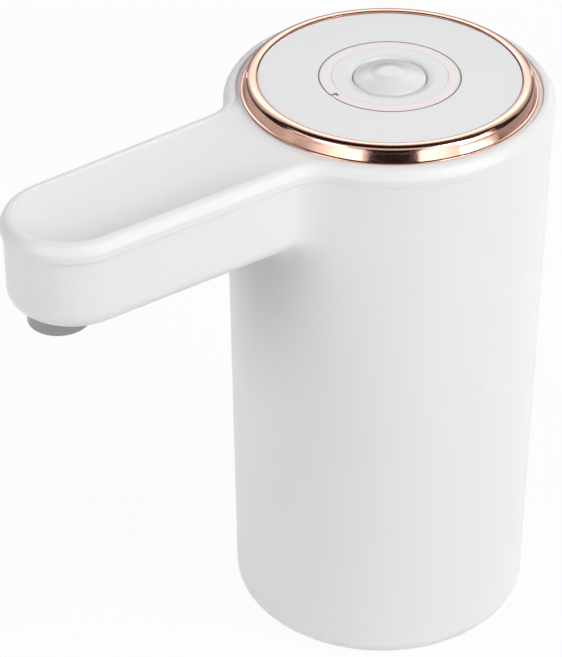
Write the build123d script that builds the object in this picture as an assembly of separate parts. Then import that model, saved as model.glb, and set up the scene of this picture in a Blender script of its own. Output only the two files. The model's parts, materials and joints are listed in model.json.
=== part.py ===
from build123d import *
import os
from math import acos, asin, atan2, cos, degrees, hypot, pi, radians, sin, sqrt, tan

# Bottled water pump: a tapered housing that sits over the neck of a large water bottle, with an
# arm and spout, a keyhole lid, a push button, and a battery, a motor and a gear pump inside.
# Millimetres. The origin is on the housing's axis at the base rim, +Z is up and the arm runs
# along -Y.

os.makedirs("parts", exist_ok=True)

# General clearances
overrun = 2.0  # how far a cutting shape passes the face that it leaves
slip_fit = 0.15  # between mouldings that slide together
snug_fit = 0.05  # between a part and the pocket that holds it
running_fit = 0.04  # radial play of a turning part
rest_gap = 0.1  # between a moving part and its stop

# Housing
wall = 2.2
housing_gap = 1.7  # from the neck's sleeve, or the battery's lead, to the inside of the housing
housing_flare = 1.95  # how much wider the housing is at the lid than at the base
base_round = 4.0
base_floor = 2.6  # thickness of the inward rim at the base
base_opening_play = 0.5  # of the rim's opening round the neck's sleeve
rib_depth = 1.2
rib_width = 1.6
rib_count = 6
hook_depth = 0.8
hook_width = 7.0
hook_height = 2.4
hook_count = 4

# Arm
arm_length = 84.0  # from the housing's axis to the centre of the rounded tip
arm_tip_radius = 14.0
arm_root_radius = 16.1
arm_depth = 17.1  # below the lid
arm_edge_round = 4.0
arm_blend = 9.5

# Lid
lid_overhang = 0.2
tip_overhang = 0.6  # of the lid at the arm's tip
lip_rise = 1.7  # upright part of the lip
lip_crown = 2.2  # inclined part of the lip, above the upright one
lip_lean = 26.7  # degrees
lip_foot_round = 0.2
lip_shoulder_round = 1.2
lip_crest_round = 1.8
lip_inner_round = 0.35
crest_width = 1.75
lid_floor_depth = 1.1  # of the plate under the channel, below the joint
seat_drop = 0.4  # from the crest down to the seat of the accent ring
lid_thickness = 2.2
dish_depth = 2.5  # of the channel below the seat
dish_margin = 0.15  # from the crest's foot to the edge of the channel
dish_stations_shares = ((0.37, 0.02), (0.5, 0.42), (0.66, 0.82), (0.84, 1.0), (1.0, 1.0))
lid_ledge = 2.4  # of the lid inside the accent ring
skirt_depth = 2.2
skirt_thickness = 1.5
bump_size = 0.7
bump_width = 8.0

# Accent ring
ring_margin = 3.5  # from the housing's edge in to the ring
ring_width = 3.65
ring_rise = 3.6  # from its seat to its crest
ring_lip_width = 0.45
ring_lip_rise = 0.55
ring_bead_width = 2.6
ring_bead_drop = 1.25
ring_edge_drop = 0.25
ring_edge_slope_share = 0.35
ring_crest_place_share = 0.32  # of the bead's width, from its inner edge to the crest
ring_peg_radius = 1.0
ring_peg_length = 3.2
ring_peg_count = 4

# Top panel
panel_rise = 3.1  # from the seat of the ring to the panel's face
panel_thickness = 1.6
panel_rim_width = 1.8
panel_mouth_round = 0.8  # of the panel's edge round the button
panel_hook_depth = 0.9
panel_hook_width = 6.0
panel_hook_count = 3
panel_collar_thickness = 1.5
boss_radius = 2.6
boss_margin = 0.9  # from a boss to the edge of the board
boss_count = 3

# Light ring and its trim
light_ring_inner_radius = 12.75
light_ring_width = 2.6
light_ring_thickness = 1.0
light_leg_width = 1.5
light_leg_sweep = 22.0  # degrees
light_leg_count = 6
trim_width = 0.22
trim_thickness = 0.6
trim_gap_angle = 3.0  # degrees
trim_gap_place = 192.0  # degrees round the ring, towards the arm's side

# Button and switch
button_radius = 8.03
button_play = 0.12
button_sink = 0.3  # of the button's edge below the panel's face
button_dome = 1.15
button_edge_round = 0.8
button_bump_radius = 4.3
button_bump_rise = 0.5
bump_brow_share = 0.62  # of the bump's radius, where its slope eases
bump_brow_drop_share = 0.14
bump_foot_slope_share = 0.25
button_shoulder_slope_share = 0.3
button_fullness_share = 0.1  # of the dome's height, midway between its edge and the bump
button_skirt = 1.2
button_flange_width = 0.95
button_flange_thickness = 1.1
button_stem_radius = 2.0
button_travel = 0.6
switch_side = 6.0
switch_height = 3.5
plunger_radius = 1.7
plunger_rise = 1.5
plunger_depth = 1.4

# Control board
board_margin = 3.1  # from the opening in the lid in to the board's edge
board_thickness = 1.6
board_drop = 5.5  # from the joint of the lid down to the board's underside
board_tab_width = 14.0
board_tab_gap = 1.0  # to the inside of the housing
led_length = 2.0
led_width = 1.25
led_height = 0.8
led_gap = 0.3
socket_width = 8.94
socket_height = 3.16
socket_depth = 7.3
socket_shell = 0.3
socket_inset = 0.45  # from the outside of the housing to the socket's mouth
socket_play = 0.2
tongue_thickness = 0.7
tongue_width = 6.7

# Bottle socket in the base
neck_bore_radius = 27.9
neck_grip_length = 17.4
neck_relief = 0.6
cup_wall = 2.4
neck_relief_length = 13.0  # from the grip up to the ceiling
ceiling_thickness = 2.4
gasket_thickness = 4.0
gasket_width = 4.4
pad_height = 3.4
pad_radius = 2.6

# Chassis
chassis_thickness = 3.0
chassis_margin = 1.0
chassis_screw_bite_share = 0.25  # of the pads' height
pump_screw_bite_share = 0.8  # of the chassis's thickness
cradle_wall = 1.6
cradle_height = 34.0
cradle_opening = 100.0  # degrees
cell_play = 0.3

# Gear pump
gear_module = 1.1
gear_teeth = 14
gear_pressure_angle = 20.0
gear_width = 8.9
gear_backlash = 0.16
gear_side_play = 0.05
gear_tip_play = 0.1
gear_root_share = 1.25
chamber_radius = 3.2
mesh_offset_share = 0.25  # of the chamber's radius, from its edge to the mesh
pump_wall = 2.4
pump_roof = 4.0
pump_ear_radius = 3.4
pump_ear_height = 4.0
cover_thickness = 3.5
pump_gasket_thickness = 0.5
inlet_bore_radius = 2.4
collar_radius = 5.4
collar_play = 0.3
spigot_radius = 4.0
spigot_length = 11.0
spigot_tip_chamfer = 0.6
seal_height = 1.5
seal_play = 0.1
shaft_radius = 1.15
shaft_hole_play = 0.15
idler_pin_radius = 1.5
pin_seat_depth = 1.5

# Motor
motor_radius = 12.2
motor_length = 31.0
motor_shell = 1.0
motor_front_thickness = 1.2
motor_boss_radius = 3.0
motor_boss_height = 1.5
end_cap_thickness = 2.2
end_cap_boss_height = 1.8
magnet_thickness = 2.6
magnet_sweep = 120.0  # degrees
magnet_length = 20.0
armature_radius = 7.7
armature_length = 16.0
armature_hub_radius = 3.0
armature_shoe_thickness = 1.3
armature_shoe_sweep = 96.0  # degrees
armature_arm_width = 2.4
armature_poles = 3
winding_thickness = 1.5
winding_overhang = 1.6
commutator_radius = 2.4
commutator_length = 3.4
brush_width = 1.8
brush_height = 2.2
brush_length = 3.0
bushing_wall = 1.3
bushing_length = 1.3
terminal_width = 2.2
terminal_thickness = 0.5
terminal_height = 4.0
terminal_place = 7.2  # from the motor's axis
motor_screw_circle = 6.2

# Screws
screw_radius = 1.2
screw_head_radius = 2.1
screw_head_height = 1.5
screw_drive_radius = 0.9
screw_drive_depth = 0.9
screw_play = 0.1
small_screw_radius = 0.95
small_head_radius = 1.75
small_head_height = 1.2

# Battery
cell_radius = 9.2
cell_length = 65.0
cell_nub_radius = 3.0
cell_nub_height = 0.8
cradle_gap = 0.86  # from the pump to the cradle
lead_room = 20.3  # above the cell, under the board

# Outlet hose and nozzle
hose_radius = 4.0
hose_bore_radius = 2.5
hose_x = 4.0
hose_gap = 0.44  # from the pump's wall to the hose
hose_bend = 13.0
hose_turn = 18.0
hose_elbow = 20.0  # from the housing wall to the turn into the arm's line
barb_radius = 2.1
barb_ridge = 0.33
barb_ridge_height = 2.0
barb_ridge_count = 3
barb_bore_radius = 1.3
barb_root_gap = 0.3
nozzle_tip_gap = 0.3  # from the nozzle's flange to the inside of the arm's tip
nozzle_radius = 6.7
nozzle_drop = 4.05  # below the arm
nozzle_bore_radius = 4.5
nozzle_throat_radius = 2.4
nozzle_column_radius = 4.6
nozzle_arm_radius = 2.9
nozzle_edge_round = 0.6
nozzle_seal_thickness = 0.8
nozzle_flange_width = 0.8
nozzle_seat_rise = 1.6  # of the seat inside the arm
nozzle_flange_thickness = 1.6
nozzle_ear_radius = 2.6
nozzle_ear_gap = 0.9  # from the nozzle's ears to the inside of the arm's walls
nozzle_ear_back = 8.0
hose_floor_gap = 1.6
hose_end_gap = 1.6  # from the nozzle's flange to the end of the hose

# Leads
lead_radius = 0.65
lead_bend = 4.0
lead_spread = 3.0

# Heights worked out from the sizes above
cup_height = base_floor + neck_grip_length + neck_relief_length  # underside of its ceiling
chassis_low = cup_height + ceiling_thickness
cover_low = chassis_low + chassis_thickness
cover_top = cover_low + cover_thickness
housing_low = cover_top + pump_gasket_thickness
cavity_height = gear_width + 2 * gear_side_play
cavity_top = housing_low + cavity_height
housing_top = cavity_top + pump_roof
motor_top = housing_top + motor_length
cell_low = cover_low + cell_play
board_height = cell_low + cell_length + lead_room  # underside
board_top = board_height + board_thickness
parting_height = board_height + board_drop  # where the lid sits on the housing
arm_bottom = parting_height - arm_depth
arm_floor = arm_bottom + wall
crest_height = parting_height + lip_rise + lip_crown
seat_height = crest_height - seat_drop
panel_height = seat_height + panel_rise
panel_underside = panel_height - panel_thickness
hose_height = arm_floor + hose_floor_gap + hose_radius

# Places of the turning parts: the inlet side of the gear mesh lies over the inlet spigot
gear_pitch_radius = gear_module * gear_teeth / 2
gear_tip_radius = gear_pitch_radius + gear_module
pocket_radius = gear_tip_radius + gear_tip_play
pocket_half_chord = sqrt(pocket_radius**2 - gear_pitch_radius**2)
gear_y = -(pocket_half_chord + chamber_radius * mesh_offset_share)
drive_at = (-gear_pitch_radius, gear_y)
idler_at = (gear_pitch_radius, gear_y)
outlet_at = (0, 2 * gear_y)
pump_reach = pocket_radius + pump_wall
cell_at = (0, gear_y + pump_reach + cradle_gap + cradle_wall + cell_play + cell_radius)
hose_at = (hose_x, gear_y - pump_reach - hose_gap - hose_radius)

# The housing goes round the neck's sleeve, or round the battery and its lead if they reach further
sleeve_reach = neck_bore_radius + cup_wall
battery_reach = cell_at[1] + cell_radius + cell_play + 2 * lead_radius
base_radius = max(sleeve_reach, battery_reach) + housing_gap + wall
parting_radius = base_radius + housing_flare
base_opening_radius = neck_bore_radius + base_opening_play
ring_outer_radius = parting_radius - ring_margin
ring_inner_radius = ring_outer_radius - ring_width
lid_opening_radius = ring_inner_radius - lid_ledge
panel_radius = ring_inner_radius - slip_fit
board_radius = lid_opening_radius - board_margin
boss_circle_radius = board_radius - boss_radius - boss_margin

# The nozzle stands as near the tip of the arm as its flange allows
nozzle_reach = nozzle_radius + nozzle_flange_width
nozzle_at = (0, -(arm_length + arm_tip_radius - wall - nozzle_tip_gap - nozzle_reach))
nozzle_ear_x = arm_tip_radius - wall - nozzle_ear_gap - nozzle_ear_radius


def side_radius(height):
    """The outside radius of the tapered housing at a height."""
    return base_radius + (parting_radius - base_radius) * height / parting_height


def ring_of_places(radius, count, start=0.0, centre=(0, 0)):
    """Places evenly spread round a circle, as (x, y, angle in degrees)."""
    places = []
    for index in range(count):
        angle = start + 360 * index / count
        x = centre[0] + radius * cos(radians(angle))
        y = centre[1] + radius * sin(radians(angle))
        places.append((x, y, angle))
    return places


def cyl(radius, low, high, at=(0, 0)):
    """An upright cylinder between two heights."""
    shape = Cylinder(radius, high - low, align=(Align.CENTER, Align.CENTER, Align.MIN))
    return Pos(at[0], at[1], low) * shape


def tube(outer, inner, low, high, at=(0, 0)):
    """An upright tube between two heights."""
    return cyl(outer, low, high, at) - cyl(inner, low - overrun, high + overrun, at)


def block(width, depth, low, high, at=(0, 0), turn=0.0):
    """An upright box between two heights, turned about its own axis."""
    shape = Box(width, depth, high - low, align=(Align.CENTER, Align.CENTER, Align.MIN))
    return Pos(at[0], at[1], low) * Rot(0, 0, turn) * shape


def sector(outer, inner, low, high, middle, sweep_angle, at=(0, 0)):
    """A piece of a tube that spans sweep_angle about the direction middle, both in degrees."""
    half = radians(sweep_angle / 2)
    turn = radians(middle)
    points = []
    for radius, side in ((outer, -1), (outer, 0), (outer, 1), (inner, 1), (inner, 0), (inner, -1)):
        angle = turn + side * half
        points.append((at[0] + radius * cos(angle), at[1] + radius * sin(angle)))
    edges = [
        ThreePointArc(points[0], points[1], points[2]),
        Line(points[2], points[3]),
        ThreePointArc(points[3], points[4], points[5]),
        Line(points[5], points[0]),
    ]
    return Pos(0, 0, low) * extrude(make_face(Wire(edges)), amount=high - low)


def turned(points):
    """A solid turned about the Z axis from (radius, height) corners."""
    profile = make_face(Plane.XZ * Polyline(*points, close=True))
    return revolve(profile, Axis.Z)


def write(name, *solids):
    """Write one node, which may hold several separate solids."""
    found = []
    for shape in solids:
        found += shape.solids()
    target = found[0] if len(found) == 1 else Compound(children=found)
    export_step(target, os.path.join("parts", name + ".step"))
    return target


# Screws: a round head with a drive recess and a plain shank


def screw(at, head_low, length, up=True, radius=screw_radius, head=screw_head_radius,
          head_height=screw_head_height):
    """A screw whose head sits on the face at head_low; up says which way the head points."""
    side = 1 if up else -1
    shank = Cylinder(radius, length, align=(Align.CENTER, Align.CENTER, Align.MAX))
    cap = Cylinder(head, head_height, align=(Align.CENTER, Align.CENTER, Align.MIN))
    hexagon = RegularPolygon(screw_drive_radius, 6)
    depth = screw_drive_depth + overrun
    recess = Pos(0, 0, head_height - screw_drive_depth) * extrude(hexagon, amount=depth)
    flip = Rot(0 if up else 180, 0, 0)
    return Pos(at[0], at[1], head_low) * flip * (shank + cap - recess)


# Housing and lid


def arm_outline(inset, tip_inset):
    """Plan of the arm: two sides that narrow to the rounded tip, closed inside the housing."""
    root = arm_root_radius - inset
    tip = arm_tip_radius - tip_inset
    lean = asin((root - tip) / arm_length)
    root_x, root_y = root * cos(lean), -root * sin(lean)
    tip_x, tip_y = tip * cos(lean), -arm_length - tip * sin(lean)
    edges = [
        Line((-root_x, root_y), (-tip_x, tip_y)),
        ThreePointArc((-tip_x, tip_y), (0, -arm_length - tip), (tip_x, tip_y)),
        Line((tip_x, tip_y), (root_x, root_y)),
        Line((root_x, root_y), (-root_x, root_y)),
    ]
    return make_face(Wire(edges))


def keyhole_outline(radius, inset, blend, tip_inset=None):
    """Plan of the lid: the round top and the arm, with the corners between them rounded."""
    plan = Circle(radius) + arm_outline(inset, inset if tip_inset is None else tip_inset)
    corners = plan.vertices().filter_by(lambda v: abs(hypot(v.X, v.Y) - radius) < snug_fit)
    inner = [v for v in corners if v.Y < -radius / 2]
    return fillet(inner, blend)


def housing_form(inset, low, high):
    """The solid form of the housing and the arm, drawn in by inset."""
    lower = side_radius(low) - inset
    upper = side_radius(high) - inset
    column = Cone(lower, upper, high - low, align=(Align.CENTER, Align.CENTER, Align.MIN))
    column = Pos(0, 0, low) * column
    underside = arm_bottom + inset
    arm = Pos(0, 0, underside) * extrude(arm_outline(inset, inset), amount=high - underside)
    bottom_edges = arm.edges().group_by(Axis.Z)[0].filter_by(lambda e: e.center().Y < -arm_root_radius)
    arm = fillet(bottom_edges, arm_edge_round - inset / 2)
    joined = column + arm
    meeting = new_edges(column, arm, combined=joined)
    return fillet(meeting.filter_by(lambda e: e.center().Z < high - snug_fit), arm_blend)


def retaining_hooks():
    """Wedges inside the housing that the ceiling of the base cup snaps under."""
    low = chassis_low + rest_gap
    radius = side_radius(low) - wall
    hooks = []
    for x, y, angle in ring_of_places(radius, hook_count, 45):
        corners = ((overrun / 2, 0), (-hook_depth, 0), (overrun / 2, hook_height))
        wedge = extrude(make_face(Plane.XZ * Polyline(*corners, close=True)), amount=hook_width / 2,
                        both=True)
        hooks.append(Pos(x, y, low) * Rot(0, 0, angle) * wedge)
    return hooks


def inner_ribs():
    """Upright ribs that stiffen the inside wall, clear of the arm and of the charging socket."""
    low = cover_low + hook_height
    high = arm_bottom - arm_blend
    radius = side_radius(low) - wall
    ribs = []
    for x, y, angle in ring_of_places(radius, rib_count, 0):
        ribs.append(block(2 * rib_depth, rib_width, low, high, (x, y), angle))
    return ribs


def lid_bump_places():
    """Places of the snap bumps round the skirt of the lid: each quarter but the arm's."""
    radius = side_radius(parting_height - skirt_depth / 2) - wall - slip_fit
    return [place for place in ring_of_places(radius, 4) if place[1] > -radius / 2]


def lid_bump(x, y, angle, growth):
    """One snap bump, or with growth the pocket that takes it."""
    middle = parting_height - skirt_depth / 2
    half = bump_size / 2 + growth
    return block(2 * half, bump_width + 2 * growth, middle - half, middle + half, (x, y), angle)


def body_shell():
    shell = housing_form(0, 0, parting_height)
    shell = fillet(shell.edges().group_by(Axis.Z)[0], base_round)
    shell -= housing_form(wall, base_floor, parting_height)
    shell -= cyl(base_opening_radius, -overrun, base_floor + overrun)
    for piece in retaining_hooks() + inner_ribs():
        shell += piece & cyl(side_radius(parting_height), 0, parting_height)
    for place in lid_bump_places():
        shell -= lid_bump(*place, snug_fit)
    shell += cyl(nozzle_reach, arm_floor - snug_fit, nozzle_seat(), nozzle_at)
    shell -= cyl(nozzle_radius + slip_fit, arm_bottom - overrun, nozzle_seat() + overrun, nozzle_at)
    for place in nozzle_ear_places():
        shell += cyl(nozzle_ear_radius, arm_floor - snug_fit, nozzle_flange_low(), place)
    for place in nozzle_ear_places():
        shell -= cyl(small_screw_radius + snug_fit, arm_floor - wall / 2,
                     nozzle_flange_low() + overrun, place)
    return shell - charge_port_cut()


def charge_port_cut():
    """The slot in the back wall that the charging socket looks out of."""
    slot = SlotOverall(socket_width + 2 * socket_play, socket_height + 2 * socket_play)
    middle = board_height - socket_height / 2
    start = board_radius
    cutter = extrude(Plane.XZ * slot, amount=-(side_radius(middle) + overrun - start))
    return Pos(0, start, middle) * cutter


def lip_form():
    """The outside of the lid: a roll that stands out over the housing and leans in to its crest."""
    plan = keyhole_outline(parting_radius + lid_overhang, -lid_overhang, arm_blend - lid_overhang,
                           -tip_overhang)
    band = Pos(0, 0, parting_height) * extrude(plan, amount=lip_rise)
    crown = Pos(0, 0, parting_height + lip_rise) * extrude(plan, amount=lip_crown, taper=lip_lean)
    lid = band + crown
    shoulder = lid.edges().filter_by(lambda e: abs(e.center().Z - parting_height - lip_rise) < snug_fit)
    lid = fillet(shoulder, lip_shoulder_round)
    lid = fillet(lid.edges().group_by(Axis.Z)[0], lip_foot_round)
    return fillet(lid.edges().group_by(Axis.Z)[-1], lip_crest_round)


def crest_inset(station_share=0):
    """How far the crest's inner foot lies inside the housing's outline, at a share of the arm."""
    overhang = lid_overhang + (tip_overhang - lid_overhang) * station_share
    return lip_crown * tan(radians(lip_lean)) - overhang + crest_width


def channel_half_width(station_share):
    """Half the channel's width at a share of the arm's length."""
    narrowing = (arm_root_radius - arm_tip_radius) * station_share
    return arm_root_radius - narrowing - crest_inset(station_share) - dish_margin


def channel_section(station_share, depth_share):
    """One cross-section of the channel scooped along the arm: an arc under the seat's level."""
    half = channel_half_width(station_share)
    depth = dish_depth * depth_share
    top = crest_height + overrun
    y = -arm_length * station_share
    edges = [
        ThreePointArc((-half, y, seat_height), (0, y, seat_height - depth), (half, y, seat_height)),
        Line((half, y, seat_height), (half, y, top)),
        Line((half, y, top), (-half, y, top)),
        Line((-half, y, top), (-half, y, seat_height)),
    ]
    return Face(Wire(edges))


def channel():
    """The scoop along the arm, with a round end under the tip."""
    scoop = loft([channel_section(*station) for station in dish_stations_shares])
    half = channel_half_width(1)
    ball_radius = (half**2 + dish_depth**2) / (2 * dish_depth)
    ball = Pos(0, -arm_length, seat_height - dish_depth + ball_radius) * Sphere(ball_radius)
    end = cyl(half, seat_height - dish_depth, crest_height + overrun, (0, -arm_length))
    return scoop + (ball & end)


def lid_seat():
    """The level area inside the crest that the accent ring stands on."""
    inset = crest_inset()
    plan = keyhole_outline(parting_radius - inset, inset, arm_blend + inset, crest_inset(1))
    return Pos(0, 0, seat_height) * extrude(plan, amount=seat_drop + overrun)


def lid_floor():
    """A plate that fits inside the arm and keeps the lid thick under the channel."""
    inset = wall + slip_fit
    low = parting_height - lid_floor_depth
    plan = keyhole_outline(side_radius(low) - inset, inset, arm_blend + inset)
    plate = Pos(0, 0, low) * extrude(plan, amount=lid_floor_depth + snug_fit)
    start = lid_pocket_radius()
    return plate & block(2 * parting_radius, 2 * arm_length, low, parting_height + snug_fit,
                         (0, -start - arm_length))


def lid_pocket_radius():
    return parting_radius - wall - slip_fit - skirt_thickness


def lid_skirt():
    """The rim under the lid that locates it inside the housing."""
    low = parting_height - skirt_depth
    high = parting_height + lip_rise / 2
    outer_inset = wall + slip_fit
    inner_inset = outer_inset + skirt_thickness
    radius = side_radius(low)
    outer = keyhole_outline(radius - outer_inset, outer_inset, arm_blend + outer_inset)
    inner = keyhole_outline(radius - inner_inset, inner_inset, arm_blend + inner_inset)
    skirt = Pos(0, 0, low) * extrude(outer - inner, amount=high - low)
    for place in lid_bump_places():
        skirt += lid_bump(*place, 0)
    return skirt


def top_cover():
    lip = lip_form()
    seat = lid_seat()
    lid = lip - seat
    rim = new_edges(lip, seat, combined=lid).filter_by(lambda e: e.center().Z > crest_height - snug_fit)
    lid = fillet(rim, lip_inner_round) - channel()
    lid -= cyl(lid_opening_radius, parting_height - overrun, crest_height + overrun)
    pocket = cyl(lid_pocket_radius(), parting_height - overrun, seat_height - lid_thickness)
    arm_side = block(2 * parting_radius, parting_radius, parting_height - overrun, crest_height,
                     (0, -parting_radius - lid_opening_radius / 2))
    lid -= pocket - arm_side
    lid += lid_skirt() + lid_floor()
    for x, y, angle in ring_of_places(ring_peg_circle(), ring_peg_count, 45):
        lid -= cyl(ring_peg_radius + snug_fit, parting_height - overrun, crest_height, (x, y))
    return lid


# Accent ring, top panel and lights


def ring_peg_circle():
    return ring_inner_radius + ring_width / 2


def accent_ring():
    outer = ring_outer_radius
    crest = seat_height + ring_rise
    crease = ring_inner_radius + ring_bead_width
    low = seat_height
    edge = (ring_inner_radius, crest - ring_edge_drop)
    top = (ring_inner_radius + ring_bead_width * ring_crest_place_share, crest)
    foot = (crease, crest - ring_bead_drop)
    profile = [
        Line((ring_inner_radius, low), edge),
        Spline(edge, top, foot, tangents=((1, ring_edge_slope_share), (0, -1))),
        Line(foot, (outer - ring_lip_width, low + ring_lip_rise)),
        Line((outer - ring_lip_width, low + ring_lip_rise), (outer, low + ring_lip_rise / 2)),
        Line((outer, low + ring_lip_rise / 2), (outer, low)),
        Line((outer, low), (ring_inner_radius, low)),
    ]
    ring = revolve(Plane.XZ * make_face(Wire(profile)), Axis.Z)
    for x, y, angle in ring_of_places(ring_peg_circle(), ring_peg_count, 45):
        ring += cyl(ring_peg_radius, low - ring_peg_length, low + ring_lip_rise / 2, (x, y))
    return ring


def trim_outer_radius():
    return light_ring_inner_radius + light_ring_width + snug_fit + trim_width


def light_legs(growth):
    """Light guides under the light ring; growth makes the slots that they pass through."""
    middle = light_ring_inner_radius + light_ring_width / 2
    half = light_leg_width / 2 + growth
    low = board_top + led_height + led_gap
    high = panel_height - light_ring_thickness
    play = degrees(growth / middle)
    legs = []
    for x, y, angle in ring_of_places(middle, light_leg_count, 0):
        legs.append(sector(middle + half, middle - half, low - growth, high + snug_fit, angle,
                           light_leg_sweep + 2 * play))
    return legs


def is_panel_mouth(edge):
    """Whether an edge is the panel's upper edge round the button."""
    level = abs(edge.center().Z - panel_height) < snug_fit
    return level and abs(edge.radius - button_radius - button_play) < snug_fit


def top_panel():
    """A disc with a rim on the lid, a collar inside it that ends in snap hooks, and screw bosses."""
    panel = cyl(panel_radius, panel_underside, panel_height)
    panel += tube(panel_radius, panel_radius - panel_rim_width, seat_height, panel_height)
    outer = lid_opening_radius - slip_fit
    inner = outer - panel_collar_thickness
    underside = seat_height - lid_thickness
    catch_top = underside - rest_gap
    catch_low = catch_top - 2 * panel_hook_depth
    panel += tube(outer, inner, catch_low, panel_height - panel_thickness / 2)
    panel += tube(outer + panel_hook_depth, inner, catch_low, catch_top)
    hook_sweep = degrees(panel_hook_width / lid_opening_radius)
    for x, y, angle in ring_of_places(lid_opening_radius, panel_hook_count, 90 + 180 / panel_hook_count):
        panel -= sector(panel_radius + overrun, inner - overrun, catch_low - overrun,
                        underside + slip_fit, angle, 360 / panel_hook_count - hook_sweep)
    groove_low = panel_height - light_ring_thickness
    panel -= tube(light_ring_inner_radius + light_ring_width + snug_fit,
                  light_ring_inner_radius - snug_fit, groove_low, panel_height + overrun)
    panel -= tube(trim_outer_radius() + snug_fit, light_ring_inner_radius,
                  panel_height - trim_thickness, panel_height + overrun)
    for leg in light_legs(slip_fit):
        panel -= leg
    panel -= cyl(button_radius + button_play, seat_height, panel_height + overrun)
    mouth = panel.edges().filter_by(GeomType.CIRCLE).filter_by(is_panel_mouth)
    panel = fillet(mouth, panel_mouth_round)
    for x, y, angle in ring_of_places(boss_circle_radius, boss_count, 90):
        boss = cyl(boss_radius, board_top, panel_underside + snug_fit, (x, y))
        panel += boss
        panel -= cyl(small_screw_radius + snug_fit, board_top - overrun, panel_underside, (x, y))
    return panel


def light_ring():
    low = panel_height - light_ring_thickness
    outer = light_ring_inner_radius + light_ring_width
    ring = tube(outer, light_ring_inner_radius, low, panel_height)
    for leg in light_legs(0):
        ring += leg
    return ring


def light_ring_trim():
    low = panel_height - trim_thickness
    outer = trim_outer_radius()
    trim = tube(outer, outer - trim_width, low, panel_height + snug_fit)
    gap = sector(outer + overrun, outer - overrun, low - overrun, panel_height + overrun,
                 trim_gap_place, trim_gap_angle)
    return trim - gap


def button_cap():
    """A shallow dome with a raised round middle, a skirt, a flange under the panel and a stem."""
    edge = panel_height - button_sink
    dome = edge + button_dome
    top = dome + button_bump_rise
    flange_top = panel_underside - rest_gap
    flange_low = flange_top - button_flange_thickness
    flange_radius = button_radius + button_flange_width
    hollow_radius = button_radius - button_skirt
    hollow_top = edge - button_skirt
    stem_low = plunger_top() + rest_gap / 2
    shoulder = (button_radius - button_edge_round, edge + button_edge_round / 2)
    bump_foot = (button_bump_radius, dome)
    bump_brow = (button_bump_radius * bump_brow_share, top - button_bump_rise * bump_brow_drop_share)
    fullness = button_dome * button_fullness_share
    between = ((shoulder[0] + bump_foot[0]) / 2, (shoulder[1] + dome) / 2 + fullness)
    inside = Polyline((0, top), (0, stem_low), (button_stem_radius, stem_low),
                      (button_stem_radius, hollow_top), (hollow_radius, hollow_top),
                      (hollow_radius, flange_low), (flange_radius, flange_low),
                      (flange_radius, flange_top), (button_radius, flange_top),
                      (button_radius, edge - button_edge_round / 2))
    profile = [
        *inside.edges(),
        Spline((button_radius, edge - button_edge_round / 2), shoulder,
               tangents=((0, 1), (-1, button_shoulder_slope_share))),
        ThreePointArc(shoulder, between, bump_foot),
        Spline(bump_foot, bump_brow, (0, top), tangents=((-1, bump_foot_slope_share), (-1, 0))),
    ]
    return revolve(Plane.XZ * make_face(Wire(profile)), Axis.Z)


def plunger_top():
    return board_top + switch_height + plunger_rise


def switch_plunger():
    return cyl(plunger_radius, board_top + switch_height - plunger_depth / 2, plunger_top())


def tact_switch():
    switch = block(switch_side, switch_side, board_top, board_top + switch_height)
    well = board_top + switch_height - plunger_depth / 2 - button_travel - rest_gap
    return switch - cyl(plunger_radius + running_fit, well, board_top + switch_height + overrun)


# Control board


def board_hole_places():
    return [(x, y) for x, y, angle in ring_of_places(boss_circle_radius, boss_count, 90)]


def control_board():
    reach = side_radius(board_height) - wall - board_tab_gap
    board = cyl(board_radius, board_height, board_top)
    board += block(board_tab_width, reach, board_height, board_top, (0, reach / 2))
    for place in board_hole_places():
        board -= cyl(small_screw_radius + screw_play, board_height - overrun, board_top + overrun, place)
    return board


def status_leds():
    middle = light_ring_inner_radius + light_ring_width / 2
    chips = []
    for x, y, angle in ring_of_places(middle, light_leg_count, 0):
        chips.append(block(led_width, led_length, board_top, board_top + led_height, (x, y), angle))
    return chips


def charge_socket():
    """A flat metal receptacle under the board's tab, with a tongue inside its mouth."""
    middle = board_height - socket_height / 2
    mouth = side_radius(middle) - socket_inset
    outline = SlotOverall(socket_width, socket_height)
    inside = SlotOverall(socket_width - 2 * socket_shell, socket_height - 2 * socket_shell)
    shell = extrude(Plane.XZ * outline, amount=socket_depth)
    hollow = extrude(Plane.XZ * inside, amount=socket_depth - socket_shell)
    tongue = Box(tongue_width, socket_depth - socket_shell, tongue_thickness,
                 align=(Align.CENTER, Align.MAX, Align.CENTER))
    tongue = Pos(0, -socket_shell * 2, 0) * tongue
    back = extrude(Plane.XZ * outline, amount=socket_depth) - extrude(
        Plane.XZ * outline, amount=socket_depth - 2 * socket_shell)
    return Pos(0, mouth, middle) * (shell - hollow + (tongue & shell) + back)


def board_screws():
    length = board_thickness + (panel_underside - board_top) / 2
    return [screw(place, board_height, length, False, small_screw_radius, small_head_radius,
                  small_head_height) for place in board_hole_places()]


# Bottle socket


def chassis_screw_places():
    """Two screws behind the pump and one in front, inside the neck gasket."""
    side = cell_radius + cell_play + cradle_wall + screw_head_radius + slip_fit
    back = cell_at[1] - cell_radius / 2
    front = gear_y - pump_reach - screw_head_radius - slip_fit
    return [(side, back), (-side, back), (-side / 2, front)]


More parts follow.
